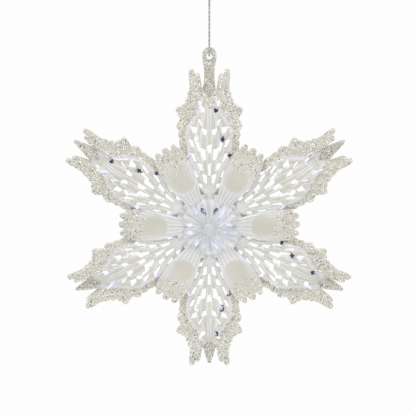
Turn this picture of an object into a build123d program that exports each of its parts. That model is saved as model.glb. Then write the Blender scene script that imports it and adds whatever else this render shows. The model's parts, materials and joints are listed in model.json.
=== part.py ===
"""Hanging snowflake star: three clear moulded tiers, glitter coats, and a doubled cord with knot and eye.

Millimetres. +Z is up, -Y is forwards, out of the star's face. The origin is where a hook bears on the
inside of the cord's eye, and the star hangs below it.
"""
from build123d import *
import os
from math import cos, pi, radians, sin, sqrt, tan

os.makedirs("parts", exist_ok=True)

# ---- driving dimensions -------------------------------------------------------------------------
arms = 6

# main star
arm_length = 77.7        # centre to the tip of a centre tooth
arm_half_width = 16.2    # across the largest side tooth
shell_wall = 1.6
valley_share = 0.277      # of an arm's length, out to where its edges meet its neighbours'
tooth_base = 8.1          # width of a centre tooth at its root
tooth_waist = 3.4         # half its width at the notch of its arm
tooth_tip = 0.6           # half its width at its point
root_share = 0.67         # of an arm's length, out to a centre tooth's root
waist_share = 0.858       # of an arm's length, out to its waist
root_inset = 0.3         # a tooth's root stays this far inside both faces of the shell
dome_rise = 17.8         # how far the middle of the main star stands forward of the tab
dome_radius = 285.0      # of the large sphere that the stars' faces follow
hub_radius = 7.0
hub_step = 0.2           # height of a flat seat round the peg

# small star, in front of the main star
lobe_length = 45.0
lobe_half_width = 8.0
lobe_wall = 1.4
lobe_hub_radius = 12.0
lobe_coat_foot = 33.0
tier_gap = 1.0
spacer_radius = 6.0

# centre flower, with the peg that goes back through both stars
petal_reach = 15.0
petal_radius = 6.2
flower_rise = 5.6
flower_dome_radius = 25.0
groove_width = 1.0
groove_depth = 0.9         # below the flower's highest point at the middle of a petal
peg_radius = 2.0
peg_clearance = 0.05
peg_end_gap = 0.1

# back cap
cap_radius = 6.0
cap_height = 2.4
cap_floor = 0.8
cap_round = 0.8

# hanging tab
tab_rise = 8.4            # of the tab's top past the tips of the centre teeth
tab_head_radius = 3.5
tab_neck_half_width = 2.25
tab_neck_drop = 9.8       # from the hole down to the neck
tab_bend = 15.8           # from the top down to the bend where the tab leans forwards
hole_radius = 1.5
hole_offset = 1.0         # of the hole below the middle of the tab's round head
hang_lean = 10.1         # degrees that the star leans back below the hole

# glitter
coat = 0.25
window_foot = 32.0        # below this an arm has no coat
window_share = 0.3        # of an arm's length, out to the lower point of its bare window
window_point = 0.5        # half the window's width there
coat_foot_share = 0.84    # of an arm's length, out to the foot of a tooth's coat

# cord, knot and eye
cord_diameter = 1.0
cord_to_tab = 0.3        # clear distance between a leg of the cord and the tab
bow_drop = 0.55          # from the top of the hole down to the cord that passes through it
leg_height = 31.5        # from the tab's hole up to the ends of the cord's legs
knot_radius = 1.7
knot_height = 4.0
knot_round = 1.2
leg_top = 0.6             # from the cord's middle line to each leg, at the knot
bow_share = 0.45          # of the distance between the legs that each rounded corner takes
eye_radius = 4.2
joint_gap = 0.3          # between pieces that turn on each other

tooth_round = 0.45        # at the points and notches of every outline

# ---- places that follow from them ---------------------------------------------------------------
cord_radius = cord_diameter / 2
eye_centre_z = cord_radius - eye_radius
knot_top_z = eye_centre_z - eye_radius - cord_radius - joint_gap
knot_bottom_z = knot_top_z - knot_height
cord_top_z = knot_bottom_z - joint_gap
hole_z = cord_top_z - leg_height
tab_top = arm_length + tab_rise
hole_height = tab_top - tab_head_radius - hole_offset

# The star leans about the tab's hole until its weight hangs plumb under the cord.
lean = radians(hang_lean)
up = Vector(0, -sin(lean), cos(lean))
forward = Vector(0, -cos(lean), -sin(lean))
centre = Vector(0, 0, hole_z) - up * hole_height
face = Plane(origin=centre, x_dir=(1, 0, 0), z_dir=forward)
profile = Plane(origin=centre, x_dir=(1, 0, 0), z_dir=-up)
side = Plane(origin=centre, x_dir=up, z_dir=(1, 0, 0))
star_axis = Axis(centre, forward)
turn = 360 / arms

small_star_rise = dome_rise + tier_gap + lobe_wall
main_front_seat = dome_rise + hub_step
main_back_seat = dome_rise - shell_wall - hub_step
small_front_seat = small_star_rise + hub_step
peg_hole_radius = peg_radius + peg_clearance


def mirrored(half):
    """A closed outline from its right half, listed from the axis outwards and back to the axis."""
    left = [(-x, y) for x, y in reversed(half) if x > 0]
    return half + left


def scaled(shape, half_width, length):
    return [(x * half_width, y * length) for x, y in shape]


def outline(points, rounding):
    """A flat face inside a closed outline whose corners are rounded."""
    with BuildSketch() as flat:
        with BuildLine():
            FilletPolyline(*points, radius=rounding, close=True)
        make_face()
    return flat.sketch


def strip(points):
    """A flat face inside a closed outline with sharp corners."""
    with BuildSketch() as flat:
        with BuildLine():
            Polyline(*points, close=True)
        make_face()
    return flat.sketch


def dome_drop(radius, reach):
    """How far a sphere's face falls back between its middle and the reach."""
    return radius - sqrt(radius**2 - reach**2)


def dome_section(front, back, radius, reach):
    """Half section of a domed shell, as (across, forward), with both faces on spheres of one radius."""
    drop = dome_drop(radius, reach)
    half_drop = dome_drop(radius, reach / 2)
    with BuildSketch() as flat:
        with BuildLine():
            ThreePointArc((0, front), (reach / 2, front - half_drop), (reach, front - drop))
            Line((reach, front - drop), (reach, back - drop))
            ThreePointArc((reach, back - drop), (reach / 2, back - half_drop), (0, back))
            Line((0, back), (0, front))
        make_face()
    return flat.sketch


# ---- outlines -----------------------------------------------------------------------------------
# Right half of an arm, as (share of the half width, share of the length), from the notch round
# the centre tooth to the valley that is hidden behind a lobe. Each tip is two points.
arm_shape = [
    (0.000, 0.812),
    (0.216, 0.856),
    (0.319, 0.941),
    (0.414, 0.950),
    (0.475, 0.935),
    (0.495, 0.984),
    (0.605, 0.986),
    (0.606, 0.935),
    (0.586, 0.893),
    (0.617, 0.850),
    (0.667, 0.805),
    (0.728, 0.795),
    (0.710, 0.771),
    (0.815, 0.764),
    (0.963, 0.749),
    (1.000, 0.727),
    (0.880, 0.672),
    (0.944, 0.650),
    (1.000, 0.630),
    (0.905, 0.575),
    (0.864, 0.492),
    (0.830, 0.386),
]
valley = (valley_share * arm_length * tan(radians(turn / 2)), valley_share * arm_length)
arm_outline = mirrored(scaled(arm_shape, arm_half_width, arm_length) + [valley, (0, 0)])

# Lace slots of an arm: (across, along, length, width, lean away from the arm's axis in degrees).
lace = [
    (0.0, 33.5, 7.0, 0.9, 0),
    (2.4, 27.5, 5.0, 1.2, 8),
    (4.5, 23.0, 5.5, 1.1, 20),
    (3.0, 36.5, 5.5, 1.3, 10),
    (6.2, 31.5, 6.5, 1.3, 18),
    (3.4, 45.5, 6.0, 1.2, 10),
    (7.4, 42.0, 5.0, 1.3, 22),
    (7.4, 50.0, 5.5, 2.6, 14),
    (2.6, 55.0, 5.0, 1.1, 8),
]

# The clear window inside an arm's glitter margin, in the same shares as the arm.
window_shape = [(0.000, 0.780), (0.240, 0.740), (0.500, 0.660), (0.560, 0.560), (0.520, 0.440)]
window_outline = mirrored(scaled(window_shape, arm_half_width, arm_length) + [(window_point, window_share * arm_length)])

# Right half of a lobe, as (share of the half width, share of the length): three fingers and a
# shoulder, and a waist towards the hub.
lobe_shape = [
    (0.130, 1.000),
    (0.230, 0.962),
    (0.290, 0.920),
    (0.450, 0.985),
    (0.650, 0.990),
    (0.740, 0.955),
    (0.780, 0.915),
    (0.930, 0.920),
    (0.990, 0.850),
    (1.000, 0.670),
    (0.810, 0.520),
    (0.500, 0.330),
    (0.420, 0.200),
]
lobe_half = scaled(lobe_shape, lobe_half_width, lobe_length)
lobe_outline = lobe_half + [(-x, y) for x, y in reversed(lobe_half)]

# The centre tooth and the tab spring from behind the notch of an arm.
root_along = root_share * arm_length
root_face = dome_rise - dome_drop(dome_radius, root_along)
root_rise = root_face - root_inset
root_back = root_face - shell_wall + root_inset
front = shell_wall / 2
back = -front
waist_along = waist_share * arm_length
bend_along = tab_top - tab_bend
whole_depth = dome_rise + 2 * shell_wall
reach = arm_length + arm_half_width

tooth_outline = [
    (tooth_tip, arm_length),
    (tooth_waist, waist_along),
    (tooth_base / 2, root_along),
    (-tooth_base / 2, root_along),
    (-tooth_waist, waist_along),
    (-tooth_tip, arm_length),
]

# ---- centre tooth, five of them, and the tab in place of the sixth --------------------------------
with BuildPart() as tooth:
    with BuildSketch(side):
        add(strip([
            (root_along, root_rise),
            (arm_length, front),
            (arm_length, back),
            (root_along, root_back),
        ]))
    extrude(amount=arm_half_width, both=True)
    with BuildSketch(face.offset(-shell_wall)):
        add(outline(tooth_outline, tooth_round))
    extrude(amount=whole_depth, mode=Mode.INTERSECT)

with BuildSketch() as tab_outline:
    add(strip([
        (tab_head_radius, hole_height),
        (tab_neck_half_width, hole_height - tab_neck_drop),
        (tooth_waist, waist_along),
        (tooth_base / 2, root_along),
        (-tooth_base / 2, root_along),
        (-tooth_waist, waist_along),
        (-tab_neck_half_width, hole_height - tab_neck_drop),
        (-tab_head_radius, hole_height),
    ]))
    with Locations((0, tab_top - tab_head_radius)):
        Circle(tab_head_radius)
    with Locations((0, hole_height)):
        Circle(hole_radius, mode=Mode.SUBTRACT)

with BuildPart() as tab:
    with BuildSketch(side):
        add(strip([
            (root_along, root_rise),
            (bend_along, front),
            (tab_top, front),
            (tab_top, back),
            (bend_along, back),
            (root_along, root_back),
        ]))
    extrude(amount=arm_half_width, both=True)
    with BuildSketch(face.offset(-shell_wall)):
        add(tab_outline.sketch)
    extrude(amount=whole_depth, mode=Mode.INTERSECT)

# ---- main star ----------------------------------------------------------------------------------
with BuildSketch() as arm:
    add(outline(arm_outline, tooth_round))
    for across, along, length, width, aside in lace:
        for hand in (1, -1) if across else (1,):
            with Locations((hand * across, along)):
                SlotOverall(length, width, rotation=90 - hand * aside, mode=Mode.SUBTRACT)

with BuildPart() as main_star:
    with BuildSketch(face):
        with PolarLocations(0, arms):
            add(arm.sketch)
        Circle(2 * hub_radius)
    extrude(amount=whole_depth)
    with BuildSketch(profile):
        add(dome_section(dome_rise, dome_rise - shell_wall, dome_radius, reach))
    revolve(axis=star_axis, mode=Mode.INTERSECT)
    add(tab.part)
    for k in range(1, arms):
        add(tooth.part.rotate(star_axis, k * turn))
    with BuildSketch(face.offset(main_back_seat)):
        Circle(hub_radius)
    extrude(amount=main_front_seat - main_back_seat)
    with BuildSketch(face):
        Circle(peg_hole_radius)
    extrude(amount=2 * whole_depth, mode=Mode.SUBTRACT)
main_star.part.label = "main_star"

# ---- small star ---------------------------------------------------------------------------------
with BuildSketch() as lobe:
    add(outline(lobe_outline, tooth_round))

with BuildPart() as small_star:
    with BuildSketch(face):
        with PolarLocations(0, arms, start_angle=turn / 2):
            add(lobe.sketch)
        Circle(lobe_hub_radius)
    extrude(amount=2 * whole_depth)
    with BuildSketch(profile):
        add(dome_section(small_star_rise, small_star_rise - lobe_wall, dome_radius, reach))
    revolve(axis=star_axis, mode=Mode.INTERSECT)
    with BuildSketch(face.offset(main_front_seat)):
        Circle(spacer_radius)
    extrude(amount=small_front_seat - main_front_seat)
    with BuildSketch(face):
        Circle(peg_hole_radius)
    extrude(amount=2 * whole_depth, mode=Mode.SUBTRACT)
small_star.part.label = "small_star"

# ---- centre flower and peg ----------------------------------------------------------------------
petal_middle = petal_reach - petal_radius
groove_cut = groove_depth + dome_drop(flower_dome_radius, petal_middle)
peg_length = small_front_seat - main_back_seat + cap_height - cap_floor - peg_end_gap
with BuildPart() as centre_flower:
    with BuildSketch(face.offset(small_front_seat)):
        Circle(petal_middle)
        with PolarLocations(petal_middle, arms, start_angle=90):
            Circle(petal_radius)
    extrude(amount=2 * flower_rise)
    with BuildSketch(profile):
        add(dome_section(
            small_front_seat + flower_rise, small_front_seat - flower_rise, flower_dome_radius, petal_reach
        ))
    revolve(axis=star_axis, mode=Mode.INTERSECT)
    with BuildSketch(face.offset(small_front_seat + flower_rise)):
        with PolarLocations(petal_middle, arms, start_angle=90):
            SlotOverall(petal_radius, groove_width)
    extrude(amount=-groove_cut, mode=Mode.SUBTRACT)
    with BuildSketch(face.offset(small_front_seat)):
        Circle(peg_radius)
    extrude(amount=-peg_length)
centre_flower.part.label = "centre_flower"

# ---- back cap, glued on the end of the peg -------------------------------------------------------
with BuildPart() as back_cap:
    with BuildSketch(face.offset(main_back_seat)):
        Circle(cap_radius)
    extrude(amount=-cap_height)
    fillet(back_cap.edges().sort_by(Axis.Y)[-1], radius=cap_round)
    with BuildSketch(face.offset(main_back_seat)):
        Circle(peg_hole_radius)
    extrude(amount=-(cap_height - cap_floor), mode=Mode.SUBTRACT)
back_cap.part.label = "back_cap"

# ---- glitter coats ------------------------------------------------------------------------------
with BuildPart() as arm_coat:
    with BuildSketch(face):
        add(arm.sketch)
        add(outline(window_outline, tooth_round), mode=Mode.SUBTRACT)
        with Locations((0, window_foot / 2)):
            Rectangle(4 * arm_half_width, window_foot, mode=Mode.SUBTRACT)
    extrude(amount=2 * whole_depth)
    with BuildSketch(profile):
        add(dome_section(dome_rise + coat, dome_rise, dome_radius, reach))
    revolve(axis=star_axis, mode=Mode.INTERSECT)

strip_slope = (root_rise - front) / (arm_length - root_along)
coat_foot = coat_foot_share * arm_length
coat_foot_rise = front + strip_slope * (arm_length - coat_foot)
with BuildPart() as tooth_coat:
    with BuildSketch(side):
        add(strip([
            (coat_foot, coat_foot_rise + coat),
            (arm_length, front + coat),
            (arm_length, front),
            (coat_foot, coat_foot_rise),
        ]))
    extrude(amount=tooth_waist, both=True)
    with BuildSketch(face):
        add(outline(tooth_outline, tooth_round))
    extrude(amount=whole_depth, mode=Mode.INTERSECT)

tab_slope = (root_rise - front) / (bend_along - root_along)
tab_foot_rise = front + tab_slope * (bend_along - coat_foot)
with BuildPart() as glitter_tab:
    with BuildSketch(side):
        add(strip([
            (coat_foot, tab_foot_rise + coat),
            (bend_along, front + coat),
            (tab_top, front + coat),
            (tab_top, front),
            (bend_along, front),
            (coat_foot, tab_foot_rise),
        ]))
    extrude(amount=arm_half_width, both=True)
    with BuildSketch(face):
        add(tab_outline.sketch)
    extrude(amount=whole_depth, mode=Mode.INTERSECT)
glitter_tab.part.label = "glitter_tab"

with BuildPart() as lobe_coat:
    with BuildSketch(face):
        add(lobe.sketch)
        with Locations((0, lobe_coat_foot / 2)):
            Rectangle(4 * lobe_half_width, lobe_coat_foot, mode=Mode.SUBTRACT)
    extrude(amount=2 * whole_depth)
    with BuildSketch(profile):
        add(dome_section(small_star_rise + coat, small_star_rise, dome_radius, reach))
    revolve(axis=star_axis, mode=Mode.INTERSECT)

glitter = [glitter_tab.part]
for k in range(arms):
    with BuildPart() as glitter_arm:
        add(arm_coat.part.rotate(star_axis, k * turn))
        if k:
            add(tooth_coat.part.rotate(star_axis, k * turn))
    glitter_arm.part.label = f"glitter_arm_{k + 1}"
    with BuildPart() as glitter_lobe:
        add(lobe_coat.part.rotate(star_axis, (k + 0.5) * turn))
    glitter_lobe.part.label = f"glitter_lobe_{k + 1}"
    glitter += [glitter_arm.part, glitter_lobe.part]

# ---- cord, doubled through the tab's hole ---------------------------------------------------------
# The front leg clears the top edge of the leaning tab, and the back leg its back face.
edge_height = (tab_top - hole_height) * cos(lean)
edge_out = (tab_top - hole_height) * sin(lean) + (front + coat) * cos(lean)
clear = cord_to_tab + cord_radius
bow_z = hole_z + hole_radius - cord_radius - bow_drop
edge_share = (cord_top_z - bow_z) / (cord_top_z - hole_z - edge_height)
front_out = leg_top + (edge_out + clear - leg_top) * edge_share
back_out = front / cos(lean) + clear
front_top = Vector(0, -leg_top, cord_top_z)
front_corner = Vector(0, -front_out, bow_z)
back_corner = Vector(0, back_out, bow_z)
back_top = Vector(0, leg_top, cord_top_z)
corner_cut = bow_share * (front_out + back_out)
bow_front = front_corner + Vector(0, corner_cut, 0)
bow_back = back_corner - Vector(0, corner_cut, 0)
with BuildPart() as hang_cord:
    with BuildLine():
        front_leg = Line(front_top, front_corner + (front_top - front_corner).normalized() * corner_cut)
        front_turn = TangentArc(front_leg @ 1, bow_front, tangent=front_leg % 1)
        bow = Line(bow_front, bow_back)
        back_turn = TangentArc(bow_back, back_corner + (back_top - back_corner).normalized() * corner_cut, tangent=bow % 1)
        back_leg = Line(back_turn @ 1, back_top)
    with BuildSketch(Plane(origin=front_top, z_dir=front_leg % 0)):
        Circle(cord_radius)
    sweep()
hang_cord.part.label = "hang_cord"
cord_length = sum(run.length for run in (front_leg, front_turn, bow, back_turn, back_leg))
print("cord corners", round(front_out, 3), round(back_out, 3), "cord length", round(cord_length, 2))
print("tube volume", round(hang_cord.part.volume, 3), "of", round(cord_length * pi * cord_radius**2, 3))

with BuildPart() as cord_knot:
    with BuildSketch(Plane.XY.offset(knot_bottom_z)):
        Circle(knot_radius)
    extrude(amount=knot_height)
    fillet(cord_knot.edges().filter_by(GeomType.CIRCLE), radius=knot_round)
cord_knot.part.label = "cord_knot"

with BuildPart() as cord_eye:
    with BuildSketch(Plane.XY.offset(eye_centre_z)):
        with Locations((eye_radius, 0)):
            Circle(cord_radius)
    revolve(axis=Axis((0, 0, eye_centre_z), (0, 1, 0)))
cord_eye.part.label = "cord_eye"

# ---- files --------------------------------------------------------------------------------------
mouldings = [main_star.part, small_star.part, centre_flower.part, back_cap.part]
cords = [hang_cord.part, cord_knot.part, cord_eye.part]
for piece in mouldings + glitter + cords:
    export_step(piece, f"parts/{piece.label}.step")
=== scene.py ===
"""Looks of the hanging snowflake star: three clear moulded tiers, glitter coats, and a twisted cord.

The star's own frame is used throughout: across the star, up its top arm, and forwards out of its
face, in millimetres. place() turns it into metres in the shared frame.
"""
import bpy
import json
import math
import numpy as np
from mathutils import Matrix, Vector
from mathutils.geometry import delaunay_2d_cdt


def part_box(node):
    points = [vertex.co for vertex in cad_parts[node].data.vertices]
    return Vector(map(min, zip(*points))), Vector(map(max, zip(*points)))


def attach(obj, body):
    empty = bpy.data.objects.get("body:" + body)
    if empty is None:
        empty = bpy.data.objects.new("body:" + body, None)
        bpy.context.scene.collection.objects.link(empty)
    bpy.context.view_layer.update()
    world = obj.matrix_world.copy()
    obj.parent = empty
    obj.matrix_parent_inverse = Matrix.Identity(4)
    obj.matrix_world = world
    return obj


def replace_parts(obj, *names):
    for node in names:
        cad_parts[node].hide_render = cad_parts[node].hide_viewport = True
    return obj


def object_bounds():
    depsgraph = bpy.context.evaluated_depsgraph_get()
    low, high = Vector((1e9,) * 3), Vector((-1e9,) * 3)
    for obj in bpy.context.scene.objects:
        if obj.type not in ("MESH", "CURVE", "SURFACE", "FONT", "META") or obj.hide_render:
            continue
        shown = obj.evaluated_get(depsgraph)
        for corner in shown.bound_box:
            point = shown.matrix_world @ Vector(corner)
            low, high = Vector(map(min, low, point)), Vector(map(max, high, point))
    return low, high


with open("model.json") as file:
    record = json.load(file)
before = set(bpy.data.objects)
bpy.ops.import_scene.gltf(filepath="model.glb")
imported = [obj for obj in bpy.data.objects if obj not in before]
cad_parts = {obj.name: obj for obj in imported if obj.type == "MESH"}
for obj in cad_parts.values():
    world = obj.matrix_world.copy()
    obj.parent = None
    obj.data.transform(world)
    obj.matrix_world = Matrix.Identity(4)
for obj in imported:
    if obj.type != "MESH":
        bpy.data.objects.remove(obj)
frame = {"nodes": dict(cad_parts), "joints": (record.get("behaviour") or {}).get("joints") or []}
cad_box = [list(corner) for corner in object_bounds()]
joints = {j["name"]: j for j in frame["joints"]}

MM = 0.001
ARMS = 6
TURN = math.tau / ARMS

# ---- the star's frame ---------------------------------------------------------------------------
LEAN = math.radians(10.1)    # the star leans back below its hole
HOLE_BELOW_BOW = 0.45        # mm, from the cord's middle line in the hole to the hole's middle
HOLE_HEIGHT = 81.6           # mm, up the top arm from the star's centre
UP = Vector((0, -math.sin(LEAN), math.cos(LEAN)))
FORWARD = Vector((0, -math.cos(LEAN), -math.sin(LEAN)))
BOW = Vector(joints["star_swing"]["pos_m"])
HOLE = BOW - Vector((0, 0, HOLE_BELOW_BOW * MM))
CENTRE = HOLE - UP * HOLE_HEIGHT * MM

# ---- sizes of the mouldings ---------------------------------------------------------------------
ARM_LENGTH = 77.7
DOME_RISE = 17.8
DOME_RADIUS = 285.0
SHELL_WALL = 1.6
TIER_STEP = 2.4              # from the main star's face up to the small star's
LOBE_WALL = 1.4
HUB_RADIUS = 16.5
HOLE_RADIUS = 1.5
ROOT_ALONG = 52.0            # along an arm, where a centre tooth and the tab spring from it
TAB_BEND = 70.3              # along the top arm, where the tab straightens up
STRIP_RISE = 0.8             # of a tooth's or the tab's face, at its far end
STUD_FACE = 1.5              # of a stud's foot above the arm's plain face
BEHIND_EDGE = -0.15          # a flake's middle stays this far inside an outline
ARM_GRID, FINE_GRID, HUB_GRID = 0.43, 0.3, 0.5

# ---- the cord, in metres ------------------------------------------------------------------------
CORD_DIAMETER = 0.001
PLY_RADIUS = 0.00025         # of each ply, and of the helix that it follows
PLY_PITCH = 0.0039
ALONG_X, ALONG_Y, ALONG_Z = (1.0, 0.0, 0.0), (0.0, 1.0, 0.0), (0.0, 0.0, 1.0)


def place(points):
    """Points of the star's frame, in mm, as points of the shared frame, in metres."""
    p = np.asarray(points, float)
    return np.array(CENTRE) + MM * (
        p[:, :1] * np.array(ALONG_X) + p[:, 1:2] * np.array(UP) + p[:, 2:3] * np.array(FORWARD)
    )


def turned(points, angle):
    """Points turned about the star's axis."""
    c, s = math.cos(angle), math.sin(angle)
    p = np.asarray(points, float)
    return np.column_stack((c * p[:, 0] - s * p[:, 1], s * p[:, 0] + c * p[:, 1], p[:, 2]))


def dome(x, y):
    """How far forward the large sphere stands that every tier follows."""
    return DOME_RISE - DOME_RADIUS + np.sqrt(DOME_RADIUS**2 - x**2 - y**2)


def smooth(a, b, x):
    """A smooth step from 0 at a to 1 at b."""
    t = np.clip((x - a) / (b - a), 0, 1)
    return t * t * (3 - 2 * t)


# ---- flat distance fields -----------------------------------------------------------------------
def to_segment(x, y, a, b):
    """Distance to a segment, and the share along it of the nearest point."""
    dx, dy = b[0] - a[0], b[1] - a[1]
    t = np.clip(((x - a[0]) * dx + (y - a[1]) * dy) / (dx * dx + dy * dy), 0, 1)
    return np.hypot(x - a[0] - t * dx, y - a[1] - t * dy), t


def to_line(x, y, points):
    """Distance to an open line of points."""
    return np.min([to_segment(x, y, a, b)[0] for a, b in zip(points, points[1:])], axis=0)


def to_outline(x, y, points):
    """Signed distance to a closed outline, negative inside."""
    far = np.full(x.shape, np.inf)
    inside = np.zeros(x.shape, bool)
    for a, b in zip(points, points[1:] + points[:1]):
        far = np.minimum(far, to_segment(x, y, a, b)[0])
        crosses = (a[1] > y) != (b[1] > y)
        if a[1] != b[1]:
            inside ^= crosses & (x < (b[0] - a[0]) * (y - a[1]) / (b[1] - a[1]) + a[0])
    return np.where(inside, -far, far)


def both_hands(points):
    """A line and its mirror image across the arm's axis."""
    return [points, [(-x, y) for x, y in points]]


def closed_by_mirror(half):
    """A closed outline from its right half, listed from the axis round to the axis."""
    return half + [(-x, y) for x, y in reversed(half) if x > 0]


def rounded(points, radius):
    """A closed outline with its corners cut back and rounded."""
    out = []
    n = len(points)
    for i in range(n):
        before, here, after = (Vector(points[j % n]) for j in (i - 1, i, i + 1))
        cut_in = min(radius, 0.45 * (before - here).length)
        cut_out = min(radius, 0.45 * (after - here).length)
        a = here + (before - here).normalized() * cut_in
        b = here + (after - here).normalized() * cut_out
        for t in (0.0, 0.33, 0.67, 1.0):
            p = a * (1 - t) ** 2 + here * 2 * t * (1 - t) + b * t * t
            out.append((p.x, p.y))
    return out


# ---- sheets cut from a field --------------------------------------------------------------------
def sheet_of(field, low, high, step):
    """Triangles that cover where field is negative, as (points, triangles): a grid cut at zero."""
    nx = int((high[0] - low[0]) / step) + 2
    ny = int((high[1] - low[1]) / step) + 2
    gx, gy = np.meshgrid(low[0] + step * np.arange(nx), low[1] + step * np.arange(ny), indexing="ij")
    f = field(gx, gy)
    f[np.abs(f) < 0.02 * step] = 0.02 * step
    points, index, triangles = [], {}, []

    def corner(i, j):
        key = (i, j)
        if key not in index:
            index[key] = len(points)
            points.append((gx[i, j], gy[i, j]))
        return index[key]

    def cut(p, q):
        key = (p, q) if p < q else (q, p)
        if key not in index:
            t = f[p] / (f[p] - f[q])
            index[key] = len(points)
            points.append((gx[p] + t * (gx[q] - gx[p]), gy[p] + t * (gy[q] - gy[p])))
        return index[key]

    inside = f < 0
    busy = inside[:-1, :-1] | inside[1:, :-1] | inside[:-1, 1:] | inside[1:, 1:]
    for i, j in zip(*np.nonzero(busy)):
        quad = ((i, j), (i + 1, j), (i + 1, j + 1), (i, j + 1))
        halves = (0, 1, 2), (0, 2, 3)
        if (i + j) % 2:
            halves = (0, 1, 3), (1, 2, 3)
        for half in halves:
            tri = [quad[k] for k in half]
            ins = [inside[p] for p in tri]
            count = sum(ins)
            if count == 3:
                triangles.append([corner(*p) for p in tri])
            elif count:
                while not (ins[0] and not ins[2]) if count == 2 else not ins[0]:
                    tri, ins = tri[1:] + tri[:1], ins[1:] + ins[:1]
                a, b, c = tri
                if count == 1:
                    triangles.append([corner(*a), cut(a, b), cut(a, c)])
                else:
                    ca, cb, bc, ac = corner(*a), corner(*b), cut(b, c), cut(a, c)
                    triangles += [[ca, cb, bc], [ca, bc, ac]]
    return np.array(points), triangles


def rim_of(triangles):
    """The directed edges that only one triangle has."""
    seen = {}
    for t in triangles:
        for a, b in zip(t, t[1:] + t[:1]):
            if (b, a) in seen:
                del seen[(b, a)]
            else:
                seen[(a, b)] = True
    return list(seen)


def back_sheet(points, rim, field, spacing):
    """A coarse sheet inside the same rim: (points with the rim's first, triangles)."""
    used = sorted({i for e in rim for i in e})
    number = {i: k for k, i in enumerate(used)}
    flat = points[used]
    low, high = flat.min(0), flat.max(0)
    gx, gy = np.meshgrid(np.arange(low[0], high[0], spacing), np.arange(low[1], high[1], spacing))
    keep = field(gx, gy) < -0.5 * spacing
    inner = np.column_stack((gx[keep], gy[keep]))
    every = [Vector(p) for p in np.vstack((flat, inner))]
    edges = [(number[a], number[b]) for a, b in rim]
    verts, _, faces, origin, _, _ = delaunay_2d_cdt(every, edges, [], 0, 1e-7)
    out = np.array([tuple(v) for v in verts])
    middle = np.array([np.mean(out[list(t)], axis=0) for t in faces])
    inside = field(middle[:, 0], middle[:, 1]) < 0
    where = {}
    for k, sources in enumerate(origin):
        for source in sources:
            where[source] = k
    return out, [list(t) for t, k in zip(faces, inside) if k], [where[number[i]] for i in used], used


def solid_from(points, triangles, field, front, back, spacing=2.0):
    """A closed moulding: a fine front sheet, a coarse back sheet and the walls between their rims."""
    rim = rim_of(triangles)
    flat, behind, matches, used = back_sheet(points, rim, field, spacing)
    n = len(points)
    x, y = points[:, 0], points[:, 1]
    top = np.column_stack((x, y, front(x, y)))
    low = np.column_stack((flat[:, 0], flat[:, 1], back(flat[:, 0], flat[:, 1])))
    partner = {i: n + k for i, k in zip(used, matches)}
    faces = [list(t) for t in triangles]
    faces += [[n + i for i in reversed(t)] for t in behind]
    for a, b in rim:
        faces += [[b, a, partner[a]], [b, partner[a], partner[b]]]
    return np.vstack((top, low)), faces


def join(shells):
    """Several (points, faces) as one."""
    points, faces, base = [], [], 0
    for p, f in shells:
        points.append(np.asarray(p))
        faces += [[i + base for i in face] for face in f]
        base += len(p)
    return np.vstack(points), faces


def piece(name, points, faces, material, body="star", smooth_angle=40, attribute=None, glint=None):
    """A mesh that rides on a body, from points in metres, with up to two values at each point."""
    mesh = bpy.data.meshes.new(name)
    mesh.from_pydata([tuple(p) for p in points], [], faces)
    mesh.validate()
    mesh.update()
    if attribute is not None:
        layer = mesh.attributes.new("clear", "FLOAT", "POINT")
        layer.data.foreach_set("value", np.asarray(attribute, np.float32))
    if glint is not None:
        layer = mesh.attributes.new("glint", "FLOAT", "POINT")
        layer.data.foreach_set("value", np.asarray(glint, np.float32))
    mesh.shade_smooth()
    if smooth_angle:
        mesh.set_sharp_from_angle(angle=math.radians(smooth_angle))
    obj = bpy.data.objects.new(name, mesh)
    bpy.context.scene.collection.objects.link(obj)
    mesh.materials.append(material)
    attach(obj, body)
    return obj


# ---- materials ----------------------------------------------------------------------------------
def shader(name):
    material = bpy.data.materials.new(name)
    material.use_nodes = True
    nodes, links = material.node_tree.nodes, material.node_tree.links
    return material, nodes, links, nodes["Principled BSDF"]


def noise(nodes, scale, detail=3.0):
    n = nodes.new("ShaderNodeTexNoise")
    n.inputs["Scale"].default_value = scale
    n.inputs["Detail"].default_value = detail
    return n


def ramp(nodes, stops):
    """A colour ramp from (place, grey or colour) stops."""
    r = nodes.new("ShaderNodeValToRGB")
    while len(r.color_ramp.elements) < len(stops):
        r.color_ramp.elements.new(0.5)
    for e, (at, value) in zip(r.color_ramp.elements, stops):
        e.position = at
        e.color = (*value, 1) if isinstance(value, tuple) else (value, value, value, 1)
    return r


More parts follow.
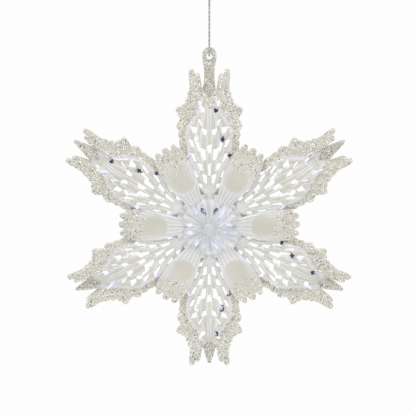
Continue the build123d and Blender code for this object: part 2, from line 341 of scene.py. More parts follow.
def acrylic(name, colours, through, roughness, bump_scale, bump, alpha=1.0):
    """Clear moulded acrylic: hazy on its leaflets, clear along its veins and walls, with a faint painted glow
    in its own colour and painted reflections where the glint attribute is set.

    colours are of a leaflet, an edge and a vein. through and roughness are (leaflet, vein).
    """
    leaf, edge, vein = colours
    halfway = tuple(0.6 * a + 0.4 * b for a, b in zip(leaf, vein))
    material, nodes, links, b = shader(name)
    b.inputs["IOR"].default_value = 1.49
    b.inputs["Coat Weight"].default_value = 0.35
    b.inputs["Coat Roughness"].default_value = 0.04
    b.inputs["Alpha"].default_value = alpha
    # Painted light: a faint glow in the acrylic's own colour stands in for light scattered through the plastic
    # and lightens its crevices and shaded parts.
    b.inputs["Emission Strength"].default_value = 0.14
    at = nodes.new("ShaderNodeTexCoord")
    wave = noise(nodes, 90.0)
    links.new(at.outputs["Object"], wave.inputs["Vector"])
    clear = nodes.new("ShaderNodeAttribute")
    clear.attribute_name = "clear"
    tint = ramp(nodes, [(0.0, leaf), (0.42, halfway), (0.6, edge), (0.95, vein)])
    links.new(clear.outputs["Fac"], tint.inputs["Fac"])
    cloud = nodes.new("ShaderNodeMix")
    cloud.data_type = "RGBA"
    cloud.blend_type = "MULTIPLY"
    cloud.inputs["Factor"].default_value = 1.0
    shade = ramp(nodes, [(0.3, (0.90, 0.90, 0.88)), (0.7, (1.0, 1.0, 1.0))])
    links.new(wave.outputs["Fac"], shade.inputs["Fac"])
    links.new(tint.outputs["Color"], cloud.inputs["A"])
    links.new(shade.outputs["Color"], cloud.inputs["B"])
    # Painted reflections: where the glint attribute is set, this ramp replaces the colour with near black,
    # dark blue, pale blue and white facets.
    glint = nodes.new("ShaderNodeAttribute")
    glint.attribute_name = "glint"
    painted_reflection = ramp(nodes, [
        (0.0, (0.5, 0.5, 0.5)), (0.08, (0.006, 0.006, 0.010)), (0.30, (0.03, 0.03, 0.06)),
        (0.55, (0.30, 0.31, 0.50)), (0.75, (0.85, 0.87, 1.0)), (1.0, (1.0, 1.0, 1.0)),
    ])
    links.new(glint.outputs["Fac"], painted_reflection.inputs["Fac"])
    facet = nodes.new("ShaderNodeMath")
    facet.operation = "GREATER_THAN"
    facet.inputs[1].default_value = 0.04
    links.new(glint.outputs["Fac"], facet.inputs[0])
    colour = nodes.new("ShaderNodeMix")
    colour.data_type = "RGBA"
    links.new(facet.outputs["Value"], colour.inputs["Factor"])
    links.new(cloud.outputs["Result"], colour.inputs["A"])
    links.new(painted_reflection.outputs["Color"], colour.inputs["B"])
    links.new(colour.outputs["Result"], b.inputs["Base Color"])
    links.new(colour.outputs["Result"], b.inputs["Emission Color"])
    for socket, (at_leaf, at_vein) in (("Transmission Weight", through), ("Roughness", roughness)):
        varied = nodes.new("ShaderNodeMapRange")
        varied.inputs["To Min"].default_value = at_leaf
        varied.inputs["To Max"].default_value = at_vein
        links.new(clear.outputs["Fac"], varied.inputs["Value"])
        links.new(varied.outputs["Result"], b.inputs[socket])
    ripple = noise(nodes, bump_scale, 2.0)
    links.new(at.outputs["Object"], ripple.inputs["Vector"])
    lift = nodes.new("ShaderNodeBump")
    lift.inputs["Strength"].default_value = bump
    lift.inputs["Distance"].default_value = 0.0004
    links.new(ripple.outputs["Fac"], lift.inputs["Height"])
    links.new(lift.outputs["Normal"], b.inputs["Normal"])
    return material


def glitter_material():
    """Film flakes: mostly pale silver, with a few dark ones as painted dark reflections and a few white ones
    as painted sparkle, one shade to a flake.
    """
    material, nodes, links, b = shader("glitter")
    tone_and_sparkle_pick = nodes.new("ShaderNodeAttribute")
    tone_and_sparkle_pick.attribute_name = "clear"
    # The darkest stops are painted dark reflections and the whitest painted sparkle; the middle is the flakes'
    # own pale silver tone.
    shade = ramp(nodes, [
        (0.0, (0.05, 0.05, 0.055)),
        (0.05, (0.28, 0.27, 0.26)),
        (0.11, (0.66, 0.64, 0.57)),
        (0.86, (0.80, 0.78, 0.70)),
        (0.92, (0.97, 0.97, 0.95)),
        (1.0, (1.0, 1.0, 1.0)),
    ])
    links.new(tone_and_sparkle_pick.outputs["Fac"], shade.inputs["Fac"])
    links.new(shade.outputs["Color"], b.inputs["Base Color"])
    b.inputs["Metallic"].default_value = 0.12
    b.inputs["Roughness"].default_value = 0.25
    return material


def cord_material():
    """Silver-grey yarn with mottled fibre and a metallic thread."""
    material, nodes, links, b = shader("cord")
    at = nodes.new("ShaderNodeTexCoord")
    fibre = noise(nodes, 1600.0)
    links.new(at.outputs["Object"], fibre.inputs["Vector"])
    shade = ramp(nodes, [(0.3, (0.17, 0.165, 0.20)), (0.52, (0.40, 0.395, 0.44)), (0.72, (0.82, 0.82, 0.85))])
    links.new(fibre.outputs["Fac"], shade.inputs["Fac"])
    links.new(shade.outputs["Color"], b.inputs["Base Color"])
    b.inputs["Metallic"].default_value = 0.25
    b.inputs["Roughness"].default_value = 0.45
    b.inputs["Sheen Weight"].default_value = 0.3
    lift = nodes.new("ShaderNodeBump")
    lift.inputs["Strength"].default_value = 0.4
    lift.inputs["Distance"].default_value = 0.0001
    links.new(fibre.outputs["Fac"], lift.inputs["Height"])
    links.new(lift.outputs["Normal"], b.inputs["Normal"])
    return material


MOULDED = (0.55, 0.535, 0.475), (0.66, 0.68, 0.77), (0.90, 0.91, 0.94)
GLASSY = (0.68, 0.69, 0.72), (0.80, 0.82, 0.90), (0.98, 0.985, 1.0)
STAR_CLEAR = acrylic("clear_star", MOULDED, (0.06, 0.30), (0.22, 0.08), 900.0, 0.25)
LOBE_CLEAR = acrylic("clear_lobes", MOULDED, (0.08, 0.35), (0.20, 0.08), 900.0, 0.25)
FLOWER_CLEAR = acrylic("clear_flower", GLASSY, (0.25, 0.25), (0.05, 0.03), 330.0, 1.0, alpha=0.6)
CAP_CLEAR = acrylic("clear_cap", MOULDED, (0.3, 0.3), (0.25, 0.25), 900.0, 0.3)
GLITTER = glitter_material()
CORD = cord_material()

# ---- outlines, in mm ----------------------------------------------------------------------------
wing = [
    (0.0, 62.5),
    (3.5, 66.5),
    (4.7, 74.0),
    (6.1, 75.1),
    (7.1, 73.8),
    (7.6, 76.6),
    (9.9, 76.8),
    (10.2, 73.0),
    (9.8, 69.4),
    (10.0, 66.2),
    (10.9, 65.4),
    (10.5, 63.6),
    (12.0, 62.3),
    (11.6, 60.5),
    (13.7, 59.9),
    (13.6, 59.0),
    (16.2, 58.4),
    (16.6, 56.8),
    (14.2, 52.6),
    (15.6, 51.4),
    (16.3, 49.2),
    (14.8, 46.8),
    (15.5, 45.2),
    (14.5, 43.0),
    (15.0, 41.2),
    (14.0, 38.2),
    (13.6, 30.0),
    (12.8, 21.8),
]
root = [(0.0, ROOT_ALONG), (3.2, 55.0), (4.1, 60.0)]
arm_outline = rounded(closed_by_mirror(wing + [(0.0, 0.0)]), 0.7)
tooth_outline = rounded(closed_by_mirror(root + [(3.4, 66.7), (2.2, 72.0), (0.6, ARM_LENGTH)]), 0.8)
tab_outline = rounded(closed_by_mirror(root + [
    (3.1, 66.5), (2.4, 71.8), (2.7, 76.5), (3.4, 80.0), (3.6, 82.4), (3.2, 84.4), (1.9, 85.9), (0.8, 86.2),
]), 1.2)
inner_leaf = rounded(closed_by_mirror([
    (0.0, 69.0), (2.6, 66.0), (5.4, 57.5), (9.6, 51.0), (11.6, 46.5), (10.6, 38.0), (9.4, 29.0), (5.0, 19.5),
    (0.0, 14.0),
]), 1.5)
lobe_outline = rounded(closed_by_mirror([
    (0.0, 45.0), (1.1, 44.8), (1.9, 42.9), (2.4, 41.4), (3.5, 44.2), (5.2, 44.6), (5.9, 42.8), (6.3, 41.3),
    (7.5, 41.4), (7.9, 38.2), (8.0, 30.0), (6.6, 23.5), (4.2, 15.0), (3.4, 9.0), (0.0, 8.0),
]), 0.9)
petal_outline = rounded(closed_by_mirror([
    (0.0, 14.6), (2.6, 14.9), (5.2, 12.6), (6.0, 9.4), (4.8, 5.8), (2.2, 2.6), (0.0, 1.6),
]), 1.6)

# Slots through an arm's lace: (across, along, length, width, lean away from the arm's axis in degrees).
lace = [
    (0.0, 28.2, 6.6, 1.2, 0),
    (0.0, 38.6, 5.0, 2.0, 0),
    (2.1, 23.8, 5.6, 1.9, 10),
    (4.2, 20.4, 3.4, 1.6, 26),
    (2.9, 36.0, 7.0, 2.2, 13),
    (4.4, 29.8, 4.6, 1.9, 17),
    (6.6, 26.2, 5.0, 1.4, 32),
    (5.5, 39.6, 5.6, 1.3, 12),
    (7.7, 34.4, 5.6, 1.5, 27),
    (8.5, 41.2, 5.0, 1.6, 22),
    (2.4, 47.0, 4.2, 2.2, 10),
    (7.4, 48.0, 4.6, 2.6, 14),
    (4.6, 51.6, 4.2, 1.2, 24),
    (4.3, 59.4, 5.2, 1.1, 16),
]


def slot_outline(across, along, length, width, aside, hand):
    """A slot's four corners: its outer end is cut on the slant and its inner end is narrow."""
    c, s = math.cos(math.radians(aside)), math.sin(math.radians(aside))
    corners = ((0.62, 0.58, 0.0), (-0.68, 0.52, -0.6), (-0.30, -0.52, 0.0), (0.45, -0.5, 0.3))
    out = []
    for side, end, trim in corners:
        b, a = side * width, end * length + trim * width
        out.append((hand * (across + a * s + b * c), along + a * c - b * s))
    return out


slots = [slot_outline(*row, hand) for row in lace for hand in ((1, -1) if row[0] else (1,))]

# Veins of an arm's lace, right half.
veins_half = [
    [(0.3, 16.0), (0.55, 24.0), (0.9, 33.0), (0.9, 43.0), (0.5, 60.0)],
    [(0.8, 17.0), (2.6, 27.0), (4.1, 36.0), (4.3, 44.0), (3.2, 52.0), (1.8, 60.0)],
    [(1.2, 16.5), (4.0, 24.0), (6.2, 31.0), (7.0, 39.0), (6.4, 46.0), (5.4, 52.0)],
    [(1.6, 16.0), (5.6, 22.0), (8.6, 29.0), (10.2, 38.0), (9.8, 45.0)],
    [(0.9, 33.0), (1.4, 42.0)],
    [(4.1, 36.0), (5.6, 44.0)],
    [(2.6, 27.0), (5.8, 35.0)],
    [(4.0, 24.0), (8.2, 32.0), (10.2, 35.0)],
    [(0.9, 43.0), (3.6, 51.0), (4.0, 57.0)],
    [(7.0, 39.0), (9.6, 44.5)],
]
veins = [side for vein in veins_half for side in both_hands(vein)]


# ---- cut studs coloured with painted reflections ------------------------------------------------
# Painted reflections: stud sides that face within about 70 degrees of this direction round the star get dark
# striped facets, the rest pale ones.
PAINTED_DARK_REFLECTION_SIDE = math.radians(35)
# Painted reflections: the shades of a dark stud's seven facets, in two orders.
PAINTED_REFLECTION_STRIPES = (0.10, 0.10, 0.70, 0.20, 0.62, 0.20, 0.5), (0.62, 0.10, 0.20, 0.90, 0.10, 0.5, 0.5)
STUD_ROWS = (3.4, 57.4, 4.6, 2.6), (6.6, 43.6, 5.0, 2.6), (9.9, 35.6, 3.6, 2.0)


def stud(spot, heading, length, width, rise, draw, dark):
    """A small cut stud, as loose facets: (points, faces, glint of each point). The glints are painted
    reflections: dark stripes on a dark stud, pale bluish white on the others.
    """
    ahead = np.array((math.cos(heading), math.sin(heading), 0.0))
    beside = np.array((-math.sin(heading), math.cos(heading), 0.0))
    lift = np.array(ALONG_Z)
    foot = [spot + ahead * length / 2 * a + beside * width / 2 * b - 0.3 * lift
            for a, b in ((1, 0), (0.35, 1), (-0.35, 1), (-1, 0), (-0.35, -1), (0.35, -1))]
    ridge = [spot + ahead * length * 0.2 + rise * lift, spot - ahead * length * 0.2 + rise * lift]
    facets = [
        (foot[0], foot[1], ridge[0]), (foot[1], foot[2], ridge[1], ridge[0]), (foot[2], foot[3], ridge[1]),
        (foot[3], foot[4], ridge[1]), (foot[4], foot[5], ridge[0], ridge[1]), (foot[5], foot[0], ridge[0]),
        tuple(reversed(foot)),
    ]
    points, faces, glints = [], [], []
    stripes = PAINTED_REFLECTION_STRIPES[0 if draw.random() < 0.5 else 1]
    for facet, stripe in zip(facets, stripes):
        faces.append(list(range(len(points), len(points) + len(facet))))
        points += facet
        shade = stripe if dark else draw.uniform(0.62, 0.9)
        glints += [shade] * len(facet)
    return np.array(points), faces, glints


# ---- main star ----------------------------------------------------------------------------------
def arm_field(x, y):
    field = to_outline(x, y, arm_outline)
    for slot in slots:
        field = np.maximum(field, -to_outline(x, y, slot))
    return field


def strip_rise(y, end):
    """How far forward the strip of a centre tooth or the tab stands."""
    slope = (dome(0.0, ROOT_ALONG) - STRIP_RISE) / (end - ROOT_ALONG)
    return np.maximum(STRIP_RISE, STRIP_RISE + slope * (end - y))


def trough(x, y, end):
    """The arm's face sinks towards the centre tooth between the two wings."""
    share = smooth(5.2, 2.6, np.abs(x)) * smooth(54.0, 62.0, y)
    return dome(x, y) * (1 - share) + np.minimum(dome(x, y), strip_rise(y, end)) * share


def arm_relief(x, y):
    """(height above the plain face, how clear the moulding is) from the leaf's step and its veins."""
    leaf = to_outline(x, y, inner_leaf)
    step = 1.3 * smooth(1.1, -1.1, leaf) + 0.5 * np.exp(-((leaf / 0.8) ** 2))
    near = np.min([to_line(x, y, v) for v in veins], axis=0)
    inside = smooth(0.3, -1.2, leaf)
    vein = np.exp(-((near / 0.20) ** 2)) * inside
    crown = 0.55 * smooth(0.0, 1.6, near) * inside
    clear = np.maximum(vein, 0.62 * np.exp(-(((leaf + 0.3) / 0.8) ** 4)))
    return step + crown + 0.25 * vein, np.clip(clear, 0, 1)


def edge_round(field, x, y, size=0.7):
    """How far the face falls away beside an edge."""
    d = np.clip(-field(x, y) / size, 0, 1)
    return 0.55 * size * (1 - np.sqrt(np.clip(1 - (1 - d) ** 2, 0, 1)))


def arm_face(x, y):
    return trough(x, y, ARM_LENGTH) + arm_relief(x, y)[0] - edge_round(arm_field, x, y)


def arm_back(x, y):
    leaf = smooth(1.4, -1.4, to_outline(x, y, inner_leaf))
    return trough(x, y, ARM_LENGTH) - SHELL_WALL + 0.75 * leaf


def strip(outline, end, hole, low, high):
    """The strip of a centre tooth, or the tab with its hole."""
    def field(x, y):
        out = to_outline(x, y, outline)
        if hole:
            out = np.maximum(out, HOLE_RADIUS - np.hypot(x, y - HOLE_HEIGHT))
        return out

    def front(x, y):
        crown = 0.35 * smooth(0.0, 1.6, -field(x, y))
        return strip_rise(y, end) - 0.45 + crown

    def back(x, y):
        return strip_rise(y, end) - SHELL_WALL

    return solid_from(*sheet_of(field, low, high, FINE_GRID), field, front, back, 1.2)


def main_star():
    """Six arms with their lace, five centre teeth, the tab, and studs coloured with painted reflections."""
    arm = solid_from(*sheet_of(arm_field, (-17, 0), (17, 78), ARM_GRID), arm_field, arm_face, arm_back)
    arm_clear = arm_relief(arm[0][:, 0], arm[0][:, 1])[1]
    a_tooth = strip(tooth_outline, ARM_LENGTH, False, (-5, 51), (5, 79))
    the_tab = strip(tab_outline, TAB_BEND, True, (-5, 51), (5, 89))
    shells, clear = [], []
    for k in range(ARMS):
        tip = a_tooth if k else the_tab
        shells += [(turned(p, k * TURN), f) for p, f in (arm, tip)]
        clear += [arm_clear, np.zeros(len(tip[0]))]
    plain = sum(len(c) for c in clear)
    draw = np.random.default_rng(7)
    glints = [np.zeros(plain)]
    for k in range(ARMS):
        for hand in (1, -1):
            faces_to = k * TURN + (0 if hand > 0 else math.pi)
            # Painted reflections: studs on arm sides facing the chosen direction get dark striped facets, the
            # others pale ones.
            dark = math.cos(faces_to - PAINTED_DARK_REFLECTION_SIDE) > 0.35
            for across, along, length, width in STUD_ROWS:
                w = float(trough(np.array([hand * across]), np.array([along]), ARM_LENGTH)[0]) + STUD_FACE
                heading = math.pi / 2 + hand * 0.45 * (1 if along < 50 else -1)
                spot = np.array((hand * across, along, w))
                p, f, g = stud(spot, heading, length, width, 0.7, draw, dark)
                shells.append((turned(p, k * TURN), f))
                glints.append(np.array(g))
    all_points, faces = join(shells)
    glint = np.concatenate(glints)
    clear = np.concatenate(clear + [np.zeros(len(glint) - plain)])
    return piece("main_star_moulding", place(all_points), faces, STAR_CLEAR,
                 attribute=clear, glint=glint)


# ---- small star ---------------------------------------------------------------------------------
def lobe_field(x, y):
    return to_outline(x, y, lobe_outline)


def lobe_relief(x, y):
    """(height, how clear) of the ribs that fan out from the hub, round a smooth patch half way up."""
    angle = np.degrees(np.arctan2(x, y))
    radius = np.hypot(x, y)
    ribs = np.abs(np.sin(np.radians(angle * 60)))
    patch = smooth(6.5, 4.5, np.hypot(x / 1.1, (y - 26.5) / 1.05))
    reach = smooth(12, 16, radius) * smooth(41, 36, radius) * (1 - 0.9 * patch)
    bulge = 1.1 * np.clip(1 - (np.hypot(x / 1.15, (y - 27.0) / 1.6) / 7.5) ** 2, 0, 1)
    ring = np.exp(-(((np.hypot(x / 1.1, (y - 26.5) / 1.05) - 6.2) / 0.35) ** 2)) * smooth(28.0, 22.0, y)
    root = smooth(20.0, 12.0, radius)
    fan = np.abs(np.sin(np.radians(angle * 30))) ** 6
    fan = fan * smooth(10, 14, radius) * smooth(34, 22, radius) * (1 - patch)
    flank = smooth(3.2, 6.0, np.abs(x)) * smooth(37.0, 32.0, y)
    clear = np.maximum(0.7 * (1 - ribs) ** 2 * reach, fan) + 0.25 * root + 0.2 * flank
    return 0.32 * ribs * reach + bulge + 0.3 * fan, np.clip(np.maximum(clear, 0.8 * ring), 0, 1)


def lobe_face(x, y):
    return dome(x, y) + TIER_STEP + lobe_relief(x, y)[0] - edge_round(lobe_field, x, y)


def lobe_back(x, y):
    return dome(x, y) + TIER_STEP - LOBE_WALL


def small_star():
    """Six lobes and the round hub that joins them."""
    def hub_field(x, y):
        return np.hypot(x, y) - HUB_RADIUS

    def hub_face(x, y):
        return dome(x, y) + TIER_STEP + 0.1

    def hub_back(x, y):
        return lobe_back(x, y) + 0.05

    lobe = solid_from(*sheet_of(lobe_field, (-9, 7), (9, 46), FINE_GRID), lobe_field, lobe_face, lobe_back)
    hub = solid_from(*sheet_of(hub_field, (-18, -18), (18, 18), HUB_GRID), hub_field, hub_face, hub_back)
    shells = [(turned(lobe[0], (k + 0.5) * TURN), lobe[1]) for k in range(ARMS)]
    shells.append(hub)
    all_points, faces = join(shells)
    lobe_clear = lobe_relief(lobe[0][:, 0], lobe[0][:, 1])[1]
    hub_turn = np.degrees(np.arctan2(hub[0][:, 1], hub[0][:, 0]))
    clear = np.concatenate([lobe_clear] * ARMS + [0.9 * np.abs(np.sin(np.radians(hub_turn * 15))) ** 6])
    return piece("small_star_moulding", place(all_points), faces, LOBE_CLEAR, attribute=clear)


# ---- centre flower ------------------------------------------------------------------------------
def centre_flower():
    """Six thick glassy petals, each hollowed along its middle, round a small bud, with small studs that carry
    painted reflections.
    """
    base = DOME_RISE + TIER_STEP + 0.4

    def field(x, y):
        return to_outline(x, y, petal_outline)

    def front(x, y):
        inward = np.clip(-field(x, y) / 3.2, 0, 1)
        pillow = 2.2 * np.sqrt(np.clip(1 - (1 - inward) ** 2, 0, 1))
        pillow += 0.5 * np.abs(np.sin(math.tau * (np.degrees(np.arctan2(x, y + 2.0)) / 17.0))) * inward
        hollow = 1.3 * np.exp(-((x / 1.5) ** 2)) * smooth(3.0, 6.0, y) * smooth(15.5, 12.0, y)
        lift = 1.6 * smooth(13.0, 4.0, y)
        return base + 0.6 + pillow - hollow + lift

    def back(x, y):
        return base + 0.2 + 1.2 * smooth(6.0, 14.0, y)

    def bud_field(x, y):
        return np.hypot(x, y) - 3.4

    def bud_front(x, y):
        return base + 2.4 + 2.6 * np.sqrt(np.clip(1 - (np.hypot(x, y) / 3.45) ** 2, 0, 1))

    def bud_back(x, y):
        return np.full(np.shape(x), base + 0.3)

    petal = solid_from(*sheet_of(field, (-7, 1), (7, 16), FINE_GRID), field, front, back, 1.0)
    bud = solid_from(*sheet_of(bud_field, (-4, -4), (4, 4), FINE_GRID), bud_field, bud_front, bud_back, 1.0)

    # No two petals of the moulding are quite alike: each has its own skew, width and length.
    uneven = np.random.default_rng(5)
    shells = []
    for k in range(ARMS):
        skew, wide, long = uneven.uniform(-0.09, 0.09), uneven.uniform(0.93, 1.05), uneven.uniform(0.9, 1.08)
        shells.append((turned(petal[0] * np.array((wide, long, 1.0)), k * TURN + skew), petal[1]))
    shells.append(bud)
    plain = sum(len(p) for p, _ in shells)
    px, py = petal[0][:, 0], petal[0][:, 1]
    swept = np.degrees(np.arctan2(px, py + 2.0)) + 0.45 * py
    streak = (0.5 + 0.5 * np.cos(math.tau * swept / 13.0)) ** 2
    bare = 0.7 * streak * smooth(3.0, 6.0, py) * smooth(16.0, 13.5, py)
    draw = np.random.default_rng(11)
    glints = [np.zeros(plain)]
    # Painted reflections: two studs on each petal, dark striped on the top petal and pale on the others.
    for k in range(ARMS):
        for hand in (1, -1):
            across, along = hand * 2.9, 9.0
            spot = np.array((across, along, float(front(np.array([across]), np.array([along]))[0])))
            p, f, g = stud(spot, math.pi / 2 - hand * 0.6, 5.0, 2.2, 0.9, draw, k == 0)
            shells.append((turned(p, k * TURN), f))
            glints.append(np.array(g))
    all_points, faces = join(shells)
    rest = np.full(len(all_points) - ARMS * len(bare), 0.3)
    return piece("centre_flower_moulding", place(all_points), faces, FLOWER_CLEAR,
                 attribute=np.concatenate([bare] * ARMS + [rest]), glint=np.concatenate(glints))


# ---- glitter ------------------------------------------------------------------------------------
FLAKE_SIZE = 0.36, 0.6
FLAKE_HALF_THICKNESS = 0.03
FLAKE_RISE = 0.14
FLAKE_TILT = 0.38            # spread of how far a flake leans
FLAKE_PLATE = [[0, 1, 2, 3], [7, 6, 5, 4], [0, 4, 5, 1], [1, 5, 6, 2], [2, 6, 7, 3], [3, 7, 4, 0]]


def flakes(name, node, choose, count, seed, angle):
    """A coat of film flakes: thin four-sided plates that lie a little askew on the moulding."""
    draw = np.random.default_rng(seed)
    spots = np.zeros((0, 3))
    while len(spots) < count:
        spots = np.vstack((spots, choose(draw, 4 * count)))
    spots = spots[:count]
    half = draw.uniform(*FLAKE_SIZE, count)[:, None] / 2
    spin = draw.uniform(0, math.tau, count)
    lean_x, lean_y = draw.normal(0, FLAKE_TILT, count), draw.normal(0, FLAKE_TILT, count)
    normal = np.column_stack((lean_x, lean_y, np.ones(count)))
    normal /= np.linalg.norm(normal, axis=1)[:, None]
    along = np.cross(np.column_stack((np.cos(spin), np.sin(spin), np.zeros(count))), normal)
    along /= np.linalg.norm(along, axis=1)[:, None]
    across = np.cross(normal, along)
    middle = spots + (0, 0, FLAKE_RISE)
    out = FLAKE_HALF_THICKNESS * normal
    ring = [middle + half * (a * along + b * across) for a, b in ((1, 1), (-1, 1), (-1, -1), (1, -1))]
    points = np.stack([c + out for c in ring] + [c - out for c in ring], axis=1)
    faces = [[8 * i + k for k in face] for i in range(count) for face in FLAKE_PLATE]
    world = place(turned(points.reshape(-1, 3), angle))
    # Each flake's random value picks its tone; a few land on painted dark reflections and a few on painted
    # white sparkle.
    tone_and_sparkle = np.repeat(draw.random(count), 8)
    coat = piece(name, world, faces, GLITTER, smooth_angle=0, attribute=tone_and_sparkle)
    coat.data.shade_flat()
    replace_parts(coat, node)


def arm_spots(with_tooth):
    """Chooses places on an arm's margins, thickest at the edge, and on its centre tooth."""
    def choose(draw, count):
        x, y = draw.uniform(-16.5, 16.5, count), draw.uniform(36, 78, count)
        f = arm_field(x, y)
        on = (f < BEHIND_EDGE) & (to_outline(x, y, inner_leaf) > -0.2) & ~((np.abs(x) < 3.4) & (y > 61))
        on &= draw.random(count) < 0.35 + 0.65 * np.exp(np.minimum(f, 0) / 2.0)
        w = arm_face(x, y)
        if with_tooth:
            tooth_on = (np.abs(x) < 4) & (y > 60) & (to_outline(x, y, tooth_outline) < BEHIND_EDGE)
            w = np.where(tooth_on, strip_rise(y, ARM_LENGTH) + 0.05, w)
            on |= tooth_on
        return np.column_stack((x, y, w))[on]
    return choose


def tab_spots(draw, count):
    """Chooses places all over the tab, round its hole and down over the arm's face."""
    x, y = draw.uniform(-3.6, 3.6, count), draw.uniform(57, 88, count)
    on = (to_outline(x, y, tab_outline) < BEHIND_EDGE) & (np.hypot(x, y - HOLE_HEIGHT) > HOLE_RADIUS + 0.1)
    w = strip_rise(y, TAB_BEND)
    face = trough(x, y, ARM_LENGTH) + arm_relief(x, y)[0]
    w = np.where(arm_field(x, y) < 0, np.maximum(w, face), w)
    return np.column_stack((x, y, w + 0.05))[on]


def lobe_spots(draw, count):
    """Chooses places on a lobe's fingers, thinning out towards the hub."""
    x, y = draw.uniform(-8, 8, count), draw.uniform(29, 45, count)
    on = (lobe_field(x, y) < BEHIND_EDGE) & (draw.random(count) < smooth(30.0, 37.0, y))
    return np.column_stack((x, y, lobe_face(x, y)))[on]


# ---- cord ---------------------------------------------------------------------------------------
def cord_line():
    """The cord's smooth line, doubled through the tab's hole: two legs, and a short bow between them."""
    route = [
        (0, -0.0006, -0.013),
        (0, -0.00258, -0.03953),
        (0, -0.00292, -0.04405),
        (0, 0.00161, -0.04405),
        (0, 0.00147, -0.03952),
        (0, 0.0006, -0.013),
    ]
    curve = bpy.data.curves.new("cord_route", "CURVE")
    curve.dimensions = "3D"
    curve.resolution_u = 24
    spline = curve.splines.new("NURBS")
    spline.points.add(len(route) - 1)
    for point, at in zip(spline.points, route):
        point.co = (*at, 1)
    spline.order_u = 3
    spline.use_endpoint_u = True
    route_object = bpy.data.objects.new("cord_route", curve)
    bpy.context.scene.collection.objects.link(route_object)
    bpy.context.view_layer.update()
    line = bpy.data.meshes.new_from_object(route_object)
    points = [v.co.copy() for v in line.vertices]
    bpy.data.objects.remove(route_object)
    bpy.data.meshes.remove(line)
    return points


def evenly(points, spacing):
    """Points along a line at an even spacing."""
    p = np.array([tuple(q) for q in points])
    run = np.concatenate(([0], np.cumsum(np.linalg.norm(np.diff(p, axis=0), axis=1))))
    at = np.linspace(0, run[-1], max(3, int(run[-1] / spacing) + 1))
    return np.column_stack([np.interp(at, run, p[:, i]) for i in range(3)]), at


def strand(points, run, helix, radius, pitch, phase, sides=8, closed=False, aside=ALONG_X):
    """One ply: a tube that winds round the line at the helix radius. The line never runs along aside."""
    n = len(points)
    if closed:
        tangent = np.roll(points, -1, axis=0) - np.roll(points, 1, axis=0)
    else:
        tangent = np.gradient(points, axis=0)
    tangent /= np.linalg.norm(tangent, axis=1)[:, None]
    side = np.tile(np.array(aside), (n, 1))
    side -= tangent * (side * tangent).sum(1)[:, None]
    side /= np.linalg.norm(side, axis=1)[:, None]
    other = np.cross(tangent, side)
    turn = phase + math.tau * run / pitch
    axis = points + helix * (np.cos(turn)[:, None] * side + np.sin(turn)[:, None] * other)
    rings = []
    for s in range(sides):
        a = math.tau * s / sides
        rings.append(axis + radius * (math.cos(a) * side + math.sin(a) * other))
    verts = np.stack(rings, axis=1).reshape(-1, 3)
    faces = []
    for i in range(n if closed else n - 1):
        j = (i + 1) % n
        for s in range(sides):
            t = (s + 1) % sides
            faces.append([i * sides + s, i * sides + t, j * sides + t, j * sides + s])
    if not closed:
        faces += [list(range(sides))[::-1], [(n - 1) * sides + s for s in range(sides)]]
    return verts, faces


def two_ply(points, run, closed=False, pitch=PLY_PITCH, aside=ALONG_X):
    """Two plies that wind round each other."""
    return join([
        strand(points, run, PLY_RADIUS, PLY_RADIUS, pitch, phase, closed=closed, aside=aside)
        for phase in (0.0, math.pi)
    ])


def hang_cord():
    line, run = evenly(cord_line(), 0.00016)
    points, faces = two_ply(line, run)
    cord = piece("hang_cord_twisted", points, faces, CORD, body="cord", smooth_angle=60)
    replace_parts(cord, "hang_cord")


def cord_knot():
    """Three crossed turns of the cord round a core."""
    low, high = (Vector(c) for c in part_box("cord_knot"))
    middle = (low + high) / 2
    shells = []
    turns = (-0.0010, 0.00105, 0.35, 0.0), (0.0002, 0.00112, -0.4, 1.3), (0.0011, 0.0009, 0.25, 2.4)
    for height, radius, tip, phase in turns:
        a = np.linspace(0, math.tau, 64, endpoint=False)
        ring = np.column_stack((
            radius * np.cos(a), radius * np.sin(a), height + tip * radius * np.sin(a + phase)
        )) + np.array(middle)
        along = np.arange(64) * math.tau * radius / 64
        shells.append(two_ply(ring, along, closed=True, pitch=math.tau * radius / 3, aside=ALONG_Z))
    a = np.linspace(0, 1, 40)
    core = np.column_stack((0.0002 * np.sin(6 * a), 0.0002 * np.cos(6 * a), low.z + (high.z - low.z) * a))
    shells.append(strand(core, a * 0.004, 0.0, 0.00075, 1.0, 0.0, sides=12))
    points, faces = join(shells)
    knot = piece("cord_knot_tied", points, faces, CORD, body="knot", smooth_angle=60)
    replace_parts(knot, "cord_knot")


def cord_eye():
    """A loop of the cord, drawn in a little towards the knot."""
    low, high = (Vector(c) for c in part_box("cord_eye"))
    middle, reach = (low + high) / 2, (high.x - low.x) / 2 - CORD_DIAMETER / 2
    a = np.linspace(0, math.tau, 160, endpoint=False)
    width = reach * (1 - 0.22 * smooth(0.1, 1.0, -np.sin(a)))
    ring = np.column_stack((width * np.cos(a), 0 * a, middle.z + reach * np.sin(a)))
    step = np.linalg.norm(np.roll(ring, -1, axis=0) - ring, axis=1)
    along = np.concatenate(([0], np.cumsum(step)[:-1]))
    points, faces = two_ply(ring, along, closed=True, pitch=step.sum() / 10, aside=ALONG_Y)
    eye = piece("cord_eye_twisted", points, faces, CORD, body="hanger", smooth_angle=60)
    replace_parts(eye, "cord_eye")


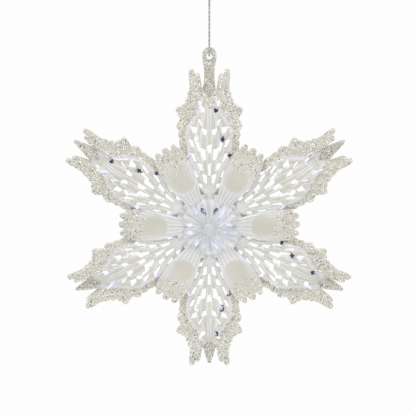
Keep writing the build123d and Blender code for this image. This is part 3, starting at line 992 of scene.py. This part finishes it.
# ---- light, floor and camera --------------------------------------------------------------------
def studio():
    """A plain pale backdrop for the camera, and a room of soft light that varies with direction."""
    world = bpy.data.worlds.new("studio")
    bpy.context.scene.world = world
    world.use_nodes = True
    nodes, links = world.node_tree.nodes, world.node_tree.links
    nodes.clear()
    out = nodes.new("ShaderNodeOutputWorld")
    backdrop = nodes.new("ShaderNodeBackground")
    backdrop.inputs["Color"].default_value = (0.985, 0.985, 0.99, 1)
    room = nodes.new("ShaderNodeBackground")
    at = nodes.new("ShaderNodeTexCoord")
    split = nodes.new("ShaderNodeSeparateXYZ")
    links.new(at.outputs["Generated"], split.inputs["Vector"])

    def light_along(axis, stops):
        share = nodes.new("ShaderNodeMapRange")
        share.inputs["From Min"].default_value = -1.0
        share.inputs["From Max"].default_value = 1.0
        links.new(split.outputs[axis], share.inputs["Value"])
        level = ramp(nodes, stops)
        links.new(share.outputs["Result"], level.inputs["Fac"])
        return level

    front_to_back = light_along("Y", [
        (0.00, 0.80), (0.14, 1.00), (0.30, 0.85), (0.38, 0.35), (0.46, 0.80), (0.75, 1.05), (1.00, 1.05),
    ])
    low_to_high = light_along("Z", [(0.0, 0.90), (0.35, 0.90), (0.5, 1.0), (0.75, 1.15), (1.0, 1.25)])
    both = nodes.new("ShaderNodeMix")
    both.data_type = "RGBA"
    both.blend_type = "MULTIPLY"
    both.inputs["Factor"].default_value = 1.0
    links.new(front_to_back.outputs["Color"], both.inputs["A"])
    links.new(low_to_high.outputs["Color"], both.inputs["B"])
    links.new(both.outputs["Result"], room.inputs["Color"])
    path = nodes.new("ShaderNodeLightPath")
    mix = nodes.new("ShaderNodeMixShader")
    links.new(path.outputs["Is Camera Ray"], mix.inputs["Fac"])
    links.new(room.outputs["Background"], mix.inputs[1])
    links.new(backdrop.outputs["Background"], mix.inputs[2])
    links.new(mix.outputs["Shader"], out.inputs["Surface"])


def lamp(name, at, power):
    """A soft square lamp that looks at the star's centre."""
    light = bpy.data.lights.new(name, "AREA")
    light.size = 0.5
    light.energy = power
    obj = bpy.data.objects.new(name, light)
    obj.location = at
    obj.rotation_euler = (CENTRE - Vector(at)).to_track_quat("-Z", "Y").to_euler()
    bpy.context.scene.collection.objects.link(obj)


def floor():
    """A round pale floor, a little below the hanging star."""
    drop, radius, sides = 0.056, 0.17, 96
    mesh = bpy.data.meshes.new("floor")
    z = cad_box[0][2] - drop
    around = np.linspace(0, math.tau, sides, endpoint=False)
    ring = [(radius * math.cos(a), radius * math.sin(a), z) for a in around]
    mesh.from_pydata(ring, [], [list(range(sides))])
    obj = bpy.data.objects.new("floor", mesh)
    bpy.context.scene.collection.objects.link(obj)
    material, _, _, b = shader("floor")
    b.inputs["Base Color"].default_value = (0.93, 0.93, 0.93, 1)
    b.inputs["Roughness"].default_value = 0.9
    mesh.materials.append(material)


def camera():
    """A long lens, 16 degrees above the star's own forward axis, so about six above level."""
    data = bpy.data.cameras.new("camera")
    cam = bpy.data.objects.new("camera", data)
    bpy.context.scene.collection.objects.link(cam)
    view_width, distance = 0.208, 1.6
    data.lens = data.sensor_width / 2 / math.tan(math.atan(view_width / 2 / distance))
    rise = math.radians(16.0) - LEAN
    back = Vector((0, -math.cos(rise), math.sin(rise)))
    frame_up = Vector((0, math.sin(rise), math.cos(rise)))
    aim = CENTRE + Vector((-0.00065, 0, 0)) + frame_up * 0.00375
    cam.location = aim + back * distance
    cam.rotation_mode = "QUATERNION"
    cam.rotation_quaternion = (-back).to_track_quat("-Z", "Y")
    bpy.context.scene.camera = cam


# ---- build --------------------------------------------------------------------------------------
studio()
floor()
camera()
lamp("key", (-0.5, -0.9, 0.75), 5.0)
lamp("fill", (0.9, -0.7, 0.1), 1.5)
hang_cord()
cord_knot()
cord_eye()
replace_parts(main_star(), "main_star")
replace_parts(small_star(), "small_star")
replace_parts(centre_flower(), "centre_flower")
cap = frame["nodes"]["back_cap"]
cap.data.materials.clear()
cap.data.materials.append(CAP_CLEAR)
ARM_FLAKES, LOBE_FLAKES, TAB_FLAKES = 2300, 330, 520
ARM_SEED, LOBE_SEED, TAB_SEED = 100, 200, 300
for k in range(ARMS):
    arm_coat, lobe_coat = f"glitter_arm_{k + 1}", f"glitter_lobe_{k + 1}"
    flakes(f"glitter_arm_flakes_{k + 1}", arm_coat, arm_spots(k > 0), ARM_FLAKES, ARM_SEED + k, k * TURN)
    flakes(f"glitter_lobe_flakes_{k + 1}", lobe_coat, lobe_spots, LOBE_FLAKES, LOBE_SEED + k, (k + 0.5) * TURN)
flakes("glitter_tab_flakes", "glitter_tab", tab_spots, TAB_FLAKES, TAB_SEED, 0.0)

bpy.context.scene.view_settings.view_transform = "Standard"
